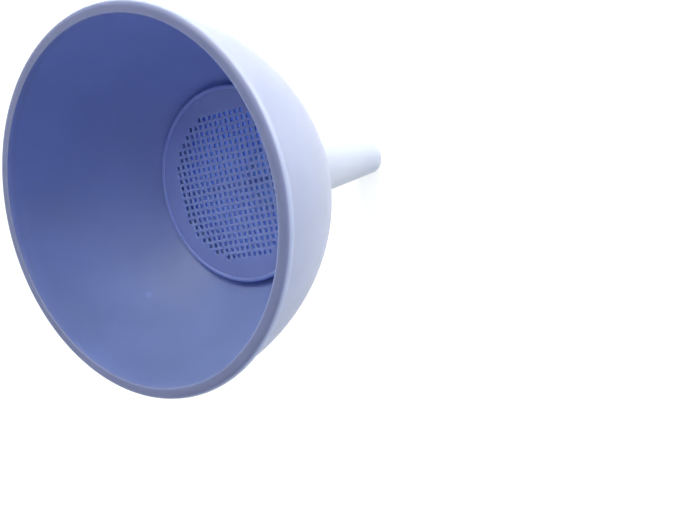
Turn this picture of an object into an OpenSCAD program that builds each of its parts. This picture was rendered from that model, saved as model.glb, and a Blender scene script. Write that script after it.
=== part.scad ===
// Household plastic funnel with a lift-out strainer plate.
// Origin: centre of the circle where the bowl meets the stem. +Z runs up the axis to the mouth.

/* [Bowl] */
// Outside diameter of the rim
rim_d = 150; // [146:1:156]
// Height of the mouth above the place where the bowl meets the stem
bowl_h = 89.4; // [84:0.2:96]
// Outside diameter where the bowl meets the stem
throat_d = 29.8; // [27:0.2:32]
// Thickness of the bowl's wall
bowl_wall = 2.4; // [1.8:0.1:2.6]
// Slope of the outer wall where it leaves the stem, in degrees from level
throat_slope = 29; // [24:1:36]
// How far the wall keeps that slope before it turns upwards
throat_reach = 37; // [34:1:44]
// Slope of the outer wall just under the rim, in degrees from level
rim_slope = 87; // [82:1:88]
// How far down the wall keeps that slope
rim_reach = 36; // [30:1:40]

/* [Lip] */
// Width of the lip from the inside of the mouth to its outermost point
lip_w = 4.8; // [4.6:0.1:6]
// How far the lip stands out from the wall below it
lip_overhang = 2.1; // [1.6:0.1:2.5]
// Rounding of the outer edge of the lip's top
lip_round = 2.4; // [1.2:0.1:2.6]
// Depth of the rounded underside of the lip, below its widest circle
lip_under = 1.2; // [0.8:0.1:2]
// Rounding of the inner edge of the mouth
lip_inner_round = 0.4; // [0.3:0.1:0.8]

/* [Stem] */
// Length of the stem
stem_l = 76.4; // [60:0.1:95]
// Outside diameter of the stem at its tip
tip_d = 15.9; // [14:0.1:18]
// Thickness of the stem's wall
stem_wall = 1.6; // [1.2:0.1:1.8]

/* [Vent rib] */
// Height of the rib at the bend between stem and bowl
rib_h = 2.8; // [1.6:0.1:3.4]
// Thickness of the rib
rib_t = 1.6; // [1.2:0.1:2.2]
// Share of the stem's length that the rib runs down
rib_down = 0.66; // [0.4:0.02:0.8]
// Height up the bowl at which the rib fades out
rib_up = 26; // [18:1:32]

/* [Strainer] */
// Outside diameter of the strainer at its top
strainer_d = 83.8; // [82:0.2:85]
// Height of the strainer's raised edge above the stem
strainer_top = 29.2; // [28.6:0.2:30]
// Thickness of the perforated plate
plate_t = 1.3; // [1.2:0.1:2]
// Thickness of the strainer's skirt
skirt_t = 1.6; // [1.2:0.1:2]
// Width of the strainer's raised edge
edge_w = 1.8; // [1.4:0.1:2.4]
// Height of the raised edge above the plate
edge_h = 0.5; // [0.3:0.1:0.7]
// How far down the outside of the raised edge is rounded
edge_round = 0.9; // [0.5:0.1:1.2]
// Distance between neighbouring holes
hole_pitch = 3; // [2.8:0.1:4]
// Side of a square hole
hole_side = 1.8; // [1.2:0.1:2]
// Radius of the circle that holds the centres of the holes
hole_field_r = 32.5; // [26:0.5:34]

/* [Ledge] */
// Height of the ledge that the strainer rests on
ledge_z = 20; // [19.5:0.25:20.5]
// Radius of the opening inside the ledge
ledge_r = 36; // [35:0.25:36.5]
// Gap between the strainer's foot and the bowl
foot_gap = 0.5; // [0.45:0.05:0.8]

/* [Hidden] */

$fn = 96;
STEPS = 28;
ARC_STEPS = 6;

rim_r = rim_d / 2;
throat_r = throat_d / 2;
tip_r = tip_d / 2;
wall_top_r = rim_r - lip_overhang;
lip_wide_z = bowl_h - lip_round;
wall_top_z = lip_wide_z - lip_under;
mouth_r = rim_r - lip_w;

// Control points of the outer wall, a cubic curve from the throat to the underside of the lip
WALL = [
    [throat_r, 0],
    [throat_r + throat_reach * cos(throat_slope), throat_reach * sin(throat_slope)],
    [wall_top_r - rim_reach * cos(rim_slope), wall_top_z - rim_reach * sin(rim_slope)],
    [wall_top_r, wall_top_z]
];

// A point [radius, height] on the outer wall, for t from 0 at the throat to 1 at the lip
function wall_point(t) =
    pow(1 - t, 3) * WALL[0]
    + 3 * pow(1 - t, 2) * t * WALL[1]
    + 3 * (1 - t) * t * t * WALL[2]
    + pow(t, 3) * WALL[3];

// The direction in which the outer wall runs at t
function wall_run(t) =
    pow(1 - t, 2) * (WALL[1] - WALL[0])
    + 2 * (1 - t) * t * (WALL[2] - WALL[1])
    + t * t * (WALL[3] - WALL[2]);

// The outer wall moved along its own normal: a positive distance is outwards
function wall_offset(t, distance) =
    let (run = wall_run(t) / norm(wall_run(t)))
    wall_point(t) + distance * [run[1], -run[0]];

// The t at which the wall, moved by a distance, reaches a height
function t_at_height(z, distance, low = 0, high = 1, halvings = 24) =
    let (middle = (low + high) / 2)
    halvings == 0 ? middle
    : wall_offset(middle, distance)[1] < z ? t_at_height(z, distance, middle, high, halvings - 1)
    : t_at_height(z, distance, low, middle, halvings - 1);

// Radius of the bowl's inside at a height
function inside_r(z) = wall_offset(t_at_height(z, -bowl_wall), -bowl_wall)[0];

// Points of a quarter or part ellipse about a centre, from one angle to another
function arc(centre, rx, ry, from, to) =
    [for (i = [0:ARC_STEPS])
        let (angle = from + (to - from) * i / ARC_STEPS)
        centre + [rx * cos(angle), ry * sin(angle)]];

OUTER_WALL = [for (i = [0:STEPS]) wall_point(i / STEPS)];

INNER_WALL = [for (i = [STEPS:-1:0]) wall_offset(i / STEPS, -bowl_wall)];

// The lip: rounded underside, rounded outer side, flat top and a small rounding into the mouth
LIP = concat(
    arc([rim_r - lip_overhang, lip_wide_z], lip_overhang, lip_under, -80, 0),
    arc([rim_r - lip_round, lip_wide_z], lip_round, lip_round, 15, 90),
    arc([mouth_r + lip_inner_round, bowl_h - lip_inner_round], lip_inner_round, lip_inner_round, 90, 180)
);

// Half section of the bowl's wall, closed at the level of the throat
module wall_section() {
    polygon(concat(OUTER_WALL, LIP, INNER_WALL, [[throat_r - stem_wall, 0]]));
}

// Half section of the bowl with everything inside its outer wall filled
module filled_section() {
    polygon(concat([[0, 0]], OUTER_WALL, [[0, wall_top_z]]));
}

module funnel_bowl() {
    color([0.45, 0.52, 0.74])
    rotate_extrude() {
        wall_section();
        intersection() {
            filled_section();
            translate([ledge_r, ledge_z - 5])
                square([6, 5]);
        }
    }
}

module funnel_stem() {
    color([0.86, 0.89, 0.97])
    rotate_extrude()
        polygon([
            [throat_r - stem_wall, 0],
            [throat_r, 0],
            [tip_r, -stem_l],
            [tip_r - stem_wall, -stem_l]
        ]);
}

// Bend of the rib's crest, where its runs along the stem and along the bowl meet
rib_low_z = -rib_down * stem_l;
rib_low_r = throat_r + (tip_r - throat_r) * rib_down;
rib_bend = [throat_r + rib_h, rib_h * (sin(throat_slope) - 1) / cos(throat_slope)];
rib_end_t = t_at_height(rib_up, 0);

// Crest of the rib up the bowl, from the bend to where it fades into the wall
RIB_CREST = [for (i = [3:STEPS / 2])
    let (share = i / (STEPS / 2))
    wall_offset(rib_end_t * share, rib_h * (1 - share))];

// A fin that holds the funnel off a bottle's mouth so that air gets out, on the +Y side
module vent_rib() {
    color([0.45, 0.52, 0.74])
    rotate([0, 0, 90])
    difference() {
        translate([0, rib_t / 2, 0])
            rotate([90, 0, 0])
                linear_extrude(rib_t)
                    polygon(concat(
                        [[tip_r, rib_low_z], [rib_low_r, rib_low_z], rib_bend],
                        RIB_CREST,
                        [[tip_r, rib_up]]
                    ));
        rotate_extrude()
            polygon(concat([[0, -stem_l], [tip_r, -stem_l]], OUTER_WALL, [[0, wall_top_z]]));
    }
}

strainer_r = strainer_d / 2;
plate_top = strainer_top - edge_h;
plate_z = plate_top - plate_t;
foot_r = inside_r(ledge_z) - foot_gap;
rows = floor(hole_field_r / hole_pitch);

// The square holes of the strainer, one prism for each
module strainer_holes() {
    for (column = [-rows:rows])
        for (row = [-rows:rows])
            if (norm([column, row]) * hole_pitch <= hole_field_r)
                translate([column * hole_pitch, row * hole_pitch, plate_z + plate_t / 2])
                    cube([hole_side, hole_side, plate_t * 2], center = true);
}

// The flat perforated plate, with a rounded raised edge
module strainer_plate() {
    color([0.42, 0.49, 0.76])
    difference() {
        rotate_extrude()
            polygon(concat(
                [[0, plate_z], [0, plate_top]],
                arc([strainer_r - edge_w / 2, plate_top], edge_w / 2, edge_h, 180, 90),
                arc([strainer_r - edge_w / 2, strainer_top - edge_round], edge_w / 2, edge_round, 75, 0),
                [[strainer_r, plate_z]]
            ));
        strainer_holes();
    }
}

// The sloping skirt that carries the plate and stands on the ledge
module strainer_skirt() {
    color([0.42, 0.49, 0.76])
    rotate_extrude()
        polygon([
            [foot_r, ledge_z],
            [strainer_r, plate_z],
            [strainer_r - skirt_t, plate_z],
            [foot_r - skirt_t, ledge_z]
        ]);
}

funnel_bowl();
funnel_stem();
vent_rib();
strainer_plate();
strainer_skirt();
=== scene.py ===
"""Looks of the strainer funnel: one blue plastic moulding and the strainer that drops into it."""

import math

import bmesh
import bpy
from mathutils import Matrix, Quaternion, Vector

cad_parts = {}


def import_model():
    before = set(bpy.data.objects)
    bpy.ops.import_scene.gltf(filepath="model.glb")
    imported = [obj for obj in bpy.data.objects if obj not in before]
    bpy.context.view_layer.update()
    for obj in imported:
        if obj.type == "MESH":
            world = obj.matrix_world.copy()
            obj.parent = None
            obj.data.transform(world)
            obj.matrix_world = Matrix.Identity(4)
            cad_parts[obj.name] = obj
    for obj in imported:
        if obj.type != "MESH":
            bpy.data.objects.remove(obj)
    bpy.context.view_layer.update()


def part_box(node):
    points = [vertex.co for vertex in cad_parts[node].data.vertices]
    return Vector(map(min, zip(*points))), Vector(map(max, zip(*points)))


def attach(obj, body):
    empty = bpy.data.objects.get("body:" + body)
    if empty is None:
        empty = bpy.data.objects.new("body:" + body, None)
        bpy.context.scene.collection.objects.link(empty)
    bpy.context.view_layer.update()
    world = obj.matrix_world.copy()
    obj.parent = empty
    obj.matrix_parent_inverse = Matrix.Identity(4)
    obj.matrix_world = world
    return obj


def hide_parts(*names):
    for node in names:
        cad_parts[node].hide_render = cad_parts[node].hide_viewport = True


MM = 0.001

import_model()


# ---------------------------------------------------------------- sizes, from the frame

def high(node):
    """The highest corner of a CAD node's box."""
    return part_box(node)[1]


def low(node):
    """The lowest corner of a CAD node's box."""
    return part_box(node)[0]


RIM_R = high("funnel_bowl").x
MOUTH_Z = high("funnel_bowl").z
THROAT_R = high("funnel_stem").x
TIP_Z = low("funnel_stem").z
PLATE_R = high("strainer_plate").x
EDGE_Z = high("strainer_plate").z
PLATE_BOTTOM = low("strainer_plate").z
FOOT_Z = low("strainer_skirt").z
RIB_LOW_Z = low("vent_rib").z
RIB_UP_Z = high("vent_rib").z
RIB_T = high("vent_rib").x - low("vent_rib").x

# The rest repeats the design's own dimensions
BOWL_WALL = 2.4 * MM
STEM_WALL = 1.6 * MM
TIP_R = 7.95 * MM
LIP_W = 4.8 * MM
LIP_OVERHANG = 2.1 * MM
LIP_ROUND = 2.4 * MM
LIP_UNDER = 1.2 * MM
THROAT_SLOPE = math.radians(29)
THROAT_REACH = 37 * MM
RIM_SLOPE = math.radians(87)
RIM_REACH = 36 * MM
LEDGE_Z = FOOT_Z
LEDGE_R = 36 * MM
SKIRT_T = 1.6 * MM
FOOT_GAP = 0.5 * MM
EDGE_W = 1.8 * MM
EDGE_H = 0.5 * MM
EDGE_ROUND = 0.9 * MM
PLATE_TOP = EDGE_Z - EDGE_H
HOLE_PITCH = 3 * MM
HOLE_SIDE = 1.8 * MM
HOLE_FIELD_R = 32.5 * MM
RIB_H = 2.8 * MM

# Vertices in each turned ring
TURNS = 192


# ---------------------------------------------------------------- outlines, as (radius, height)

WALL_TOP = Vector((RIM_R - LIP_OVERHANG, MOUTH_Z - LIP_ROUND - LIP_UNDER))
WALL = (
    Vector((THROAT_R, 0)),
    Vector((THROAT_R + THROAT_REACH * math.cos(THROAT_SLOPE), THROAT_REACH * math.sin(THROAT_SLOPE))),
    WALL_TOP - RIM_REACH * Vector((math.cos(RIM_SLOPE), math.sin(RIM_SLOPE))),
    WALL_TOP,
)


def wall_point(t, outwards=0.0):
    """A point on the bowl's outer wall, moved along the wall's normal."""
    s = 1 - t
    point = s ** 3 * WALL[0] + 3 * s * s * t * WALL[1] + 3 * s * t * t * WALL[2] + t ** 3 * WALL[3]
    run = s * s * (WALL[1] - WALL[0]) + 2 * s * t * (WALL[2] - WALL[1]) + t * t * (WALL[3] - WALL[2])
    run.normalize()
    return point + outwards * Vector((run.y, -run.x))


def t_at_height(z, outwards=0.0):
    """Where along the wall its height is z."""
    bottom, top = 0.0, 1.0
    for _ in range(30):
        middle = (bottom + top) / 2
        if wall_point(middle, outwards).y < z:
            bottom = middle
        else:
            top = middle
    return bottom


def arc(centre, rx, ry, start, end, steps=8):
    """Points on part of an ellipse, with its angles in degrees."""
    angles = [math.radians(start + (end - start) * i / steps) for i in range(steps + 1)]
    return [Vector((centre[0] + rx * math.cos(a), centre[1] + ry * math.sin(a))) for a in angles]


def along(start, end, steps):
    """Evenly spaced points from start up to, but not at, end."""
    return [start.lerp(end, i / steps) for i in range(steps)]


# ---------------------------------------------------------------- mesh helpers

def finish_mesh(name, bm, sharp_deg=32):
    """Turns a bmesh into an object with smooth faces and sharp creases."""
    bmesh.ops.remove_doubles(bm, verts=bm.verts, dist=1e-7)
    bmesh.ops.recalc_face_normals(bm, faces=bm.faces)
    for face in bm.faces:
        face.smooth = True
    for edge in bm.edges:
        edge.smooth = edge.is_manifold and edge.calc_face_angle() < math.radians(sharp_deg)
    mesh = bpy.data.meshes.new(name)
    bm.to_mesh(mesh)
    bm.free()
    obj = bpy.data.objects.new(name, mesh)
    bpy.context.scene.collection.objects.link(obj)
    return obj


def ring(bm, radius, z):
    """A ring of vertices round the axis."""
    angles = [2 * math.pi * i / TURNS for i in range(TURNS)]
    return [bm.verts.new((radius * math.cos(a), radius * math.sin(a), z)) for a in angles]


def bridge(bm, first, second):
    """Quads between two loops with the same number of vertices."""
    count = len(first)
    for i in range(count):
        j = (i + 1) % count
        bm.faces.new((first[i], first[j], second[j], second[i]))


def lathe(outline):
    """A closed outline turned round the axis."""
    bm = bmesh.new()
    rings = [ring(bm, p.x, p.y) for p in outline]
    for i, loop in enumerate(rings):
        bridge(bm, loop, rings[(i + 1) % len(rings)])
    return bm


# ---------------------------------------------------------------- the funnel's moulding

def bowl_outline():
    """Outer wall, lip, inner wall with the strainer's ledge, and the face on the stem."""
    inner_round = 0.4 * MM
    ledge_round = 0.3 * MM
    wide_z = MOUTH_Z - LIP_ROUND
    mouth_r = RIM_R - LIP_W
    outline = [wall_point(i / 64) for i in range(65)]
    outline += arc((RIM_R - LIP_OVERHANG, wide_z), LIP_OVERHANG, LIP_UNDER, -82, 0)
    outline += arc((RIM_R - LIP_ROUND, wide_z), LIP_ROUND, LIP_ROUND, 8, 90, 10)
    outline += arc((mouth_r + inner_round, MOUTH_Z - inner_round), inner_round, inner_round, 90, 180)
    t_ledge = t_at_height(LEDGE_Z, -BOWL_WALL)
    outline += [wall_point(1 + (t_ledge - 1) * i / 52, -BOWL_WALL) for i in range(53)]
    outline += arc((LEDGE_R + ledge_round, LEDGE_Z - ledge_round), ledge_round, ledge_round, 90, 180, 4)
    t_below = t_ledge
    while wall_point(t_below, -BOWL_WALL).x > LEDGE_R:
        t_below -= 0.002
    outline += [wall_point(t_below * (1 - i / 24), -BOWL_WALL) for i in range(25)]
    outline.append(Vector((THROAT_R - STEM_WALL, 0)))
    return outline


def bowl():
    """The bowl as a turned piece."""
    return finish_mesh("bowl", lathe(bowl_outline()))


def stem_outline():
    """The tapered stem, with both edges of its tip softened."""
    soft = 0.35 * MM
    bore = TIP_R - STEM_WALL
    outline = along(Vector((THROAT_R, 0)), Vector((TIP_R, TIP_Z + soft)), 24)
    outline += arc((TIP_R - soft, TIP_Z + soft), soft, soft, 0, -90, 4)
    outline += arc((bore + soft, TIP_Z + soft), soft, soft, -90, -180, 4)
    outline += along(Vector((bore, TIP_Z + soft)), Vector((THROAT_R - STEM_WALL, 0)), 24)[1:]
    outline.append(Vector((THROAT_R - STEM_WALL, 0)))
    return outline


def stem():
    """The stem as a turned piece."""
    return finish_mesh("stem", lathe(stem_outline()))


def rib_stations():
    """Points on the surface and on the rib's crest above them, from the stem up to the bowl."""
    share = RIB_LOW_Z / TIP_Z
    foot = Vector((THROAT_R + (TIP_R - THROAT_R) * share, RIB_LOW_Z))
    throat = Vector((THROAT_R, 0))
    bend = Vector((THROAT_R + RIB_H, RIB_H * (math.sin(THROAT_SLOPE) - 1) / math.cos(THROAT_SLOPE)))
    t_end = t_at_height(RIB_UP_Z)
    stem_part = [(foot.lerp(throat, i / 24), foot.lerp(bend, i / 24)) for i in range(1, 23)]
    bowl_part = [
        (wall_point(t_end * i / 20), wall_point(t_end * i / 20, RIB_H * (1 - i / 20)))
        for i in range(2, 20)
    ]
    turn = []
    for s in (i / 8 for i in range(1, 8)):
        crest = (1 - s) ** 2 * stem_part[-1][1] + 2 * s * (1 - s) * bend + s * s * bowl_part[0][1]
        if s < 0.5:
            root = stem_part[-1][0].lerp(throat, 2 * s)
        else:
            root = throat.lerp(bowl_part[0][0], 2 * s - 1)
        turn.append((root, crest))
    return stem_part + turn + bowl_part


def vent_rib():
    """A thin fin on the +Y side, with a rounded crest, a filleted root and ends that sink in."""
    bury = 0.5 * MM
    half = RIB_T / 2
    bm = bmesh.new()
    loops = []
    for root, crest in rib_stations():
        outwards = (crest - root).normalized()
        height = (crest - root).length
        flare = min(0.9 * MM, height * 0.5)
        top = min(half, height * 0.6)
        section = [(-half - flare, -bury), (-half - flare * 0.35, flare * 0.25), (-half, flare)]
        section += [
            (half * math.sin(a), height - top + top * math.cos(a))
            for a in (math.radians(-80 + 20 * i) for i in range(9))
        ]
        section += [(half, flare), (half + flare * 0.35, flare * 0.25), (half + flare, -bury)]
        loop = []
        for across, up in section:
            point = root + outwards * up
            loop.append(bm.verts.new((across, point.x, point.y)))
        loops.append(loop)
    for first, second in zip(loops, loops[1:]):
        bridge(bm, first, second)
    bm.faces.new(loops[0])
    bm.faces.new(loops[-1])
    return finish_mesh("rib", bm, 50)


# ---------------------------------------------------------------- the strainer

def hole_loop(bm, centre, half, corner, z):
    """A square with rounded corners, as twelve vertices that start on its first corner's arc."""
    loop = []
    for quarter in range(4):
        for step in (-45, 0, 45):
            turn = math.radians(45 + 90 * quarter)
            angle = turn + math.radians(step)
            inset = (half - corner) * math.sqrt(2)
            x = centre[0] + inset * math.cos(turn) + corner * math.cos(angle)
            y = centre[1] + inset * math.sin(turn) + corner * math.sin(angle)
            loop.append(bm.verts.new((x, y, z)))
    return loop


def cell_loop(bm, centre, z):
    """The border of one hole's cell, as twelve vertices that face those of hole_loop."""
    half = HOLE_PITCH / 2
    third = half * 0.4
    loop = []
    for quarter in range(4):
        turn = math.radians(90 * quarter)
        for x, y in ((half, third), (half, half), (third, half)):
            loop.append(bm.verts.new((
                centre[0] + x * math.cos(turn) - y * math.sin(turn),
                centre[1] + x * math.sin(turn) + y * math.cos(turn),
                z,
            )))
    return loop


def add_hole(bm, centre):
    """One hole with softened edges, and the flat plate round it on both faces."""
    soft = 0.22 * MM
    half = HOLE_SIDE / 2
    corner = 0.3 * MM
    side = math.sqrt(0.5)
    levels = (
        (half + soft, PLATE_TOP),
        (half + soft * (1 - side), PLATE_TOP - soft * (1 - side)),
        (half, PLATE_TOP - soft),
        (half, PLATE_BOTTOM + soft),
        (half + soft * (1 - side), PLATE_BOTTOM + soft * (1 - side)),
        (half + soft, PLATE_BOTTOM),
    )
    loops = [hole_loop(bm, centre, reach, corner + reach - half, z) for reach, z in levels]
    loops = [cell_loop(bm, centre, PLATE_TOP)] + loops + [cell_loop(bm, centre, PLATE_BOTTOM)]
    for first, second in zip(loops, loops[1:]):
        bridge(bm, first, second)


def fill_flat(bm, z):
    """Fills the plate between its holes' cells and its round edge, at one height."""
    edges = [e for e in bm.edges if e.is_boundary and all(abs(v.co.z - z) < 1e-6 for v in e.verts)]
    bmesh.ops.triangle_fill(bm, use_beauty=True, use_dissolve=False, edges=edges, normal=(0, 0, 1))


def strainer():
    """The perforated plate with its rounded edge and skirt, as one closed moulding."""
    bm = bmesh.new()
    rows = int(HOLE_FIELD_R / HOLE_PITCH)
    for column in range(-rows, rows + 1):
        for row in range(-rows, rows + 1):
            if math.hypot(column, row) * HOLE_PITCH <= HOLE_FIELD_R:
                add_hole(bm, (column * HOLE_PITCH, row * HOLE_PITCH))
    foot_r = wall_point(t_at_height(LEDGE_Z, -BOWL_WALL), -BOWL_WALL).x - FOOT_GAP
    edge_r = PLATE_R - EDGE_W / 2
    outline = arc((edge_r, PLATE_TOP), EDGE_W / 2, EDGE_H, 180, 90, 6)
    outline += arc((edge_r, EDGE_Z - EDGE_ROUND), EDGE_W / 2, EDGE_ROUND, 80, 0)
    outline += along(Vector((PLATE_R, PLATE_BOTTOM)), Vector((foot_r, FOOT_Z)), 6)
    outline += [Vector((foot_r, FOOT_Z)), Vector((foot_r - SKIRT_T, FOOT_Z))]
    outline += [Vector((PLATE_R - SKIRT_T, PLATE_BOTTOM))]
    rings = [ring(bm, p.x, p.y) for p in outline]
    for first, second in zip(rings, rings[1:]):
        bridge(bm, first, second)
    bmesh.ops.remove_doubles(bm, verts=bm.verts, dist=1e-6)
    fill_flat(bm, PLATE_TOP)
    fill_flat(bm, PLATE_BOTTOM)
    return finish_mesh("strainer", bm, 24)


# ---------------------------------------------------------------- materials

# Painted glow: a pale colour on the faces round the space under the strainer, standing in for light
# that shines in through the translucent walls
CHAMBER_PAINTED_GLOW = (0.37, 0.47, 0.88)
# Colours by height, from 0 at the throat to 1 at the mouth
# Painted shade: a darker slate on the lip's top, where less light falls on it
LIP_PAINTED_SHADE = (0.108, 0.120, 0.225)
# Painted shade: the inside is a deep, shaded copy of the blue plastic, with the painted glow low down
# and the lip's painted shade at the top
INSIDE_PAINTED_LIGHT_STOPS = (
    (0.13, CHAMBER_PAINTED_GLOW),
    (0.27, (0.123, 0.161, 0.358)),
    (0.990, (0.123, 0.161, 0.358)),
    (0.994, LIP_PAINTED_SHADE),
)
# Painted light: the outside is a pale, lit copy of the same plastic, paler still at the bottom and
# round the stem
OUTSIDE_PAINTED_LIGHT_STOPS = (
    (0.0, (0.35, 0.38, 0.46)),
    (0.2, (0.250, 0.275, 0.375)),
    (0.985, (0.250, 0.275, 0.375)),
    (0.995, LIP_PAINTED_SHADE),
)
# Colours by how level a face is: 0 upright, 1 level. Painted light: the upright faces, the hole walls
# and the raised edge's sides, are paler to stand in for light reaching into the holes
STRAINER_PAINTED_LIGHT_STOPS = ((0.3, (0.18, 0.24, 0.58)), (0.95, (0.124, 0.158, 0.395)))
# The small round mark of the mould on the inner wall, painted lighter as a painted highlight where its
# pip catches the light
MARK_Z = 48 * MM
MARK_AZIMUTH = math.radians(131)
MARK_R = 2 * MM


def ramp(nodes, links, value, stops):
    """Colours at given places on a value, with soft steps between them."""
    node = nodes.new("ShaderNodeValToRGB")
    node.color_ramp.interpolation = "EASE"
    elements = node.color_ramp.elements
    while len(elements) < len(stops):
        elements.new(0.5)
    for element, (position, colour) in zip(elements, stops):
        element.position = position
        element.color = (*colour, 1)
    links.new(value, node.inputs["Fac"])
    return node.outputs["Color"]


def spread(nodes, links, value, low_high, result=(0, 1)):
    """Stretches a value from one range to another."""
    node = nodes.new("ShaderNodeMapRange")
    node.inputs["From Min"].default_value, node.inputs["From Max"].default_value = low_high
    node.inputs["To Min"].default_value, node.inputs["To Max"].default_value = result
    links.new(value, node.inputs["Value"])
    return node.outputs["Result"]


def noise(nodes, links, place, scale, detail):
    """Cloudy noise over the surface."""
    node = nodes.new("ShaderNodeTexNoise")
    node.inputs["Scale"].default_value = scale
    node.inputs["Detail"].default_value = detail
    links.new(place.outputs["Object"], node.inputs["Vector"])
    return node.outputs["Fac"]


def scaled(nodes, links, colour, factor):
    """A colour made lighter or darker by a factor."""
    node = nodes.new("ShaderNodeVectorMath")
    node.operation = "SCALE"
    links.new(colour, node.inputs[0])
    links.new(factor, node.inputs["Scale"])
    return node.outputs["Vector"]


def mark_painted_highlight(nodes, links, place):
    """A factor that makes the mould's mark a little lighter than the wall round it: a painted highlight
    on the mark.
    """
    radius = wall_point(t_at_height(MARK_Z, -BOWL_WALL), -BOWL_WALL).x
    away = nodes.new("ShaderNodeVectorMath")
    away.operation = "DISTANCE"
    away.inputs[1].default_value = (
        radius * math.cos(MARK_AZIMUTH), radius * math.sin(MARK_AZIMUTH), MARK_Z
    )
    links.new(place.outputs["Object"], away.inputs[0])
    return spread(nodes, links, away.outputs["Value"], (0.4 * MARK_R, MARK_R), (1.2, 1))


def outward(nodes, links, place):
    """How far a face looks away from the axis: -1 straight at it, 1 straight away."""
    radial = nodes.new("ShaderNodeVectorMath")
    radial.operation = "MULTIPLY"
    radial.inputs[1].default_value = (1, 1, 0)
    unit = nodes.new("ShaderNodeVectorMath")
    unit.operation = "NORMALIZE"
    dot = nodes.new("ShaderNodeVectorMath")
    dot.operation = "DOT_PRODUCT"
    links.new(place.outputs["Object"], radial.inputs[0])
    links.new(radial.outputs["Vector"], unit.inputs[0])
    links.new(unit.outputs["Vector"], dot.inputs[0])
    links.new(place.outputs["Normal"], dot.inputs[1])
    return dot.outputs["Value"]


def upright(nodes, links, vector):
    """The part of a vector along the axis."""
    parts = nodes.new("ShaderNodeSeparateXYZ")
    links.new(vector, parts.inputs["Vector"])
    return parts.outputs["Z"]


def mixed(nodes, links, factor, first, second):
    """The first colour where the factor is 0 and the second where it is 1."""
    node = nodes.new("ShaderNodeMix")
    node.data_type = "RGBA"
    links.new(factor, node.inputs["Factor"])
    links.new(first, node.inputs["A"])
    links.new(second, node.inputs["B"])
    return node.outputs["Result"]


def funnel_paint(nodes, links, place):
    """Painted light and shade on one plastic: a shaded deep blue inside, a painted shade of slate on
    the lip, and a lit pale outside, paler still round the stem.
    """
    facing = spread(nodes, links, outward(nodes, links, place), (-0.6, 0.6))
    height = spread(nodes, links, upright(nodes, links, place.outputs["Object"]), (0, MOUTH_Z))
    inside = ramp(nodes, links, height, INSIDE_PAINTED_LIGHT_STOPS)
    inside = scaled(nodes, links, inside, mark_painted_highlight(nodes, links, place))
    return mixed(nodes, links, facing, inside, ramp(nodes, links, height, OUTSIDE_PAINTED_LIGHT_STOPS))


def strainer_paint(nodes, links, place):
    """Deep blue on level faces, with painted light: paler on upright ones and a painted glow under the
    plate.
    """
    level = nodes.new("ShaderNodeMath")
    level.operation = "ABSOLUTE"
    links.new(upright(nodes, links, place.outputs["Normal"]), level.inputs[0])
    seen = ramp(nodes, links, level.outputs["Value"], STRAINER_PAINTED_LIGHT_STOPS)
    height = upright(nodes, links, place.outputs["Object"])
    above = spread(nodes, links, height, (PLATE_BOTTOM, PLATE_BOTTOM + 0.2 * MM))
    away = spread(nodes, links, outward(nodes, links, place), (0.1, 0.6))
    shown = nodes.new("ShaderNodeMath")
    shown.operation = "MAXIMUM"
    links.new(above, shown.inputs[0])
    links.new(away, shown.inputs[1])
    # Painted glow: the plate's underside and the skirt's inner face take the chamber's pale colour
    under = nodes.new("ShaderNodeRGB")
    under.outputs["Color"].default_value = (*CHAMBER_PAINTED_GLOW, 1)
    return mixed(nodes, links, shown.outputs["Value"], under.outputs["Color"], seen)


def plastic(name, paint, roughness):
    """Semi-gloss moulded plastic that lets light in, with faint clouds in its colour."""
    material = bpy.data.materials.new(name)
    material.use_nodes = True
    nodes, links = material.node_tree.nodes, material.node_tree.links
    shader = nodes["Principled BSDF"]
    place = nodes.new("ShaderNodeTexCoord")

    drift = spread(nodes, links, noise(nodes, links, place, 40, 3), (0.3, 0.7), (0.95, 1.05))
    clouded = scaled(nodes, links, paint(nodes, links, place), drift)
    links.new(clouded, shader.inputs["Base Color"])

    sheen = (roughness - 0.05, roughness + 0.07)
    gloss = spread(nodes, links, noise(nodes, links, place, 160, 5), (0, 1), sheen)
    links.new(gloss, shader.inputs["Roughness"])

    bump = nodes.new("ShaderNodeBump")
    bump.inputs["Strength"].default_value = 0.12
    bump.inputs["Distance"].default_value = 0.1 * MM
    links.new(noise(nodes, links, place, 420, 2), bump.inputs["Height"])
    links.new(bump.outputs["Normal"], shader.inputs["Normal"])

    shader.inputs["IOR"].default_value = 1.38
    shader.inputs["Subsurface Weight"].default_value = 1.0
    shader.inputs["Subsurface Radius"].default_value = (0.7, 0.8, 1.0)
    shader.inputs["Subsurface Scale"].default_value = 6 * MM
    return material


def plain(name, colour, roughness, glow):
    """A plain studio surface that is lit a little from within."""
    material = bpy.data.materials.new(name)
    material.use_nodes = True
    shader = material.node_tree.nodes["Principled BSDF"]
    shader.inputs["Base Color"].default_value = (*colour, 1)
    shader.inputs["Roughness"].default_value = roughness
    shader.inputs["Emission Color"].default_value = (1, 1, 1, 1)
    shader.inputs["Emission Strength"].default_value = glow
    return material


# ---------------------------------------------------------------- pieces on their bodies

def place_piece(piece, body, slot, material, *nodes):
    """Gives a piece its material and body, and hides the CAD nodes it stands for."""
    piece.data.materials.append(material)
    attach(piece, body)
    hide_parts(*nodes)


funnel_plastic = plastic("funnel_plastic", funnel_paint, 0.42)
strainer_plastic = plastic("strainer_plastic", strainer_paint, 0.40)

place_piece(bowl(), "funnel", "funnel_plastic", funnel_plastic, "funnel_bowl")
place_piece(stem(), "funnel", "funnel_plastic", funnel_plastic, "funnel_stem")
place_piece(vent_rib(), "funnel", "funnel_plastic", funnel_plastic, "vent_rib")
place_piece(
    strainer(), "strainer", "strainer_plastic", strainer_plastic, "strainer_plate", "strainer_skirt"
)


# ---------------------------------------------------------------- studio

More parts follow.
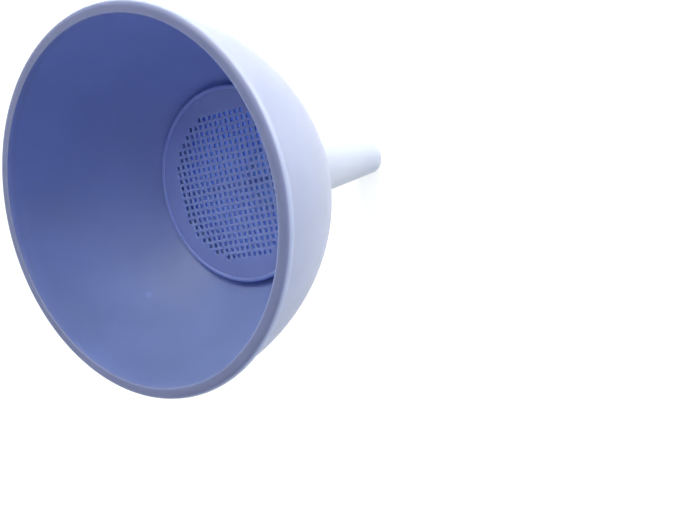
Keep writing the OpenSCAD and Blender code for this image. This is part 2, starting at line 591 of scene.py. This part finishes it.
def area_light(name, place, target, width, height, power, colour=(1, 1, 1)):
    """A soft rectangular light that faces a point."""
    data = bpy.data.lights.new(name, "AREA")
    data.shape = "RECTANGLE"
    data.size = width
    data.size_y = height
    data.energy = power
    data.color = colour
    light = bpy.data.objects.new(name, data)
    light.location = place
    light.rotation_mode = "QUATERNION"
    light.rotation_quaternion = (Vector(target) - Vector(place)).to_track_quat("-Z", "Y")
    bpy.context.scene.collection.objects.link(light)


def floor():
    """A wide round floor under the stem's tip."""
    bm = bmesh.new()
    bmesh.ops.create_circle(bm, cap_ends=True, radius=6, segments=96)
    mesh = bpy.data.meshes.new("floor")
    bm.to_mesh(mesh)
    bm.free()
    obj = bpy.data.objects.new("floor", mesh)
    obj.location.z = TIP_Z
    bpy.context.scene.collection.objects.link(obj)
    obj.data.materials.append(plain("floor_paper", (0.45, 0.45, 0.45), 0.9, 0.56))


def camera():
    """Looks down into the mouth from one side, rolled so that the stem points to the right."""
    elevation = math.radians(51.14)
    distance = 0.4354
    aim = Vector((-41.7, -17.6, -8.0)) * MM
    roll = math.radians(109.12)
    data = bpy.data.cameras.new("camera")
    data.lens = 51.9
    data.sensor_width = 36
    data.clip_start = 0.01
    obj = bpy.data.objects.new("camera", data)
    obj.location = distance * Vector((0, -math.cos(elevation), math.sin(elevation)))
    obj.rotation_mode = "QUATERNION"
    turn = Quaternion((0, 0, 1), -roll)
    obj.rotation_quaternion = (aim - obj.location).to_track_quat("-Z", "Y") @ turn
    bpy.context.scene.collection.objects.link(obj)
    bpy.context.scene.camera = obj


def world(strength, colour):
    """Even light from all round."""
    sky = bpy.data.worlds.new("sky")
    sky.use_nodes = True
    sky.node_tree.nodes["Background"].inputs["Color"].default_value = (*colour, 1)
    sky.node_tree.nodes["Background"].inputs["Strength"].default_value = strength
    bpy.context.scene.world = sky


bpy.context.scene.view_settings.view_transform = "Standard"
floor()
camera()
world(1.08, (0.89, 0.95, 1))
area_light("window", (0.70, -0.15, 0.60), (0, 0, 0.03), 0.45, 0.45, 8.8, (1, 0.98, 0.68))
area_light("side", (0.50, -0.68, 0.05), (0, 0, 0), 0.7, 0.2, 7.6, (1, 0.98, 0.98))
